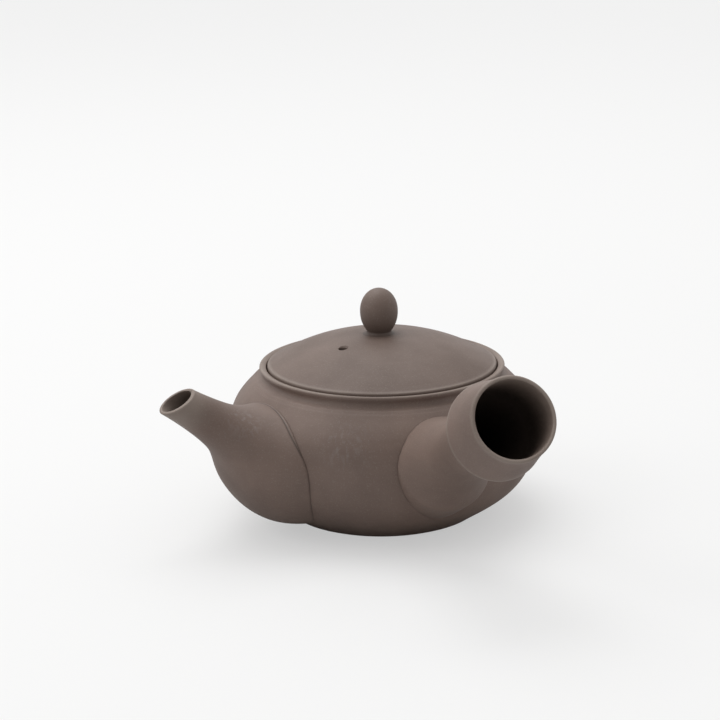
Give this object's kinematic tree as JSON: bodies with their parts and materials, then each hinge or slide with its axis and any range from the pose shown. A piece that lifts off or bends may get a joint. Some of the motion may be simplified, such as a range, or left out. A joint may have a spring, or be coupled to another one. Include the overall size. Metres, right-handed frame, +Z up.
{
  "type": "side-handle teapot",
  "caption": "Small unglazed clay teapot with a curved spout, a hollow side handle, an inner strainer and a lift-off domed lid with a knob.",
  "frame": {"origin": "centre of the pot's foot, on the table", "axes": "+Z up along the axis on which the pot was thrown, the handle pointing towards -Y and a little to +X, the spout to -X and -Y"},
  "size_m": [0.142, 0.1923, 0.0891],
  "materials": {
    "clay_body": "matt unglazed, fine grain",
    "clay_lid": "matt unglazed, fine grain"
  },
  "bodies": {
    "pot": {"pot_body": "clay_body", "spout": "clay_body", "handle": "clay_body", "strainer": "clay_body"},
    "cover": {"lid": "clay_lid", "lid_knob": "clay_lid"}
  },
  "joints": [
    {"name": "lid_lift", "type": "slide", "parent": "pot", "child": "cover", "axis": [0, 0, 1], "range_m": [0, 0.08]}
  ]
}
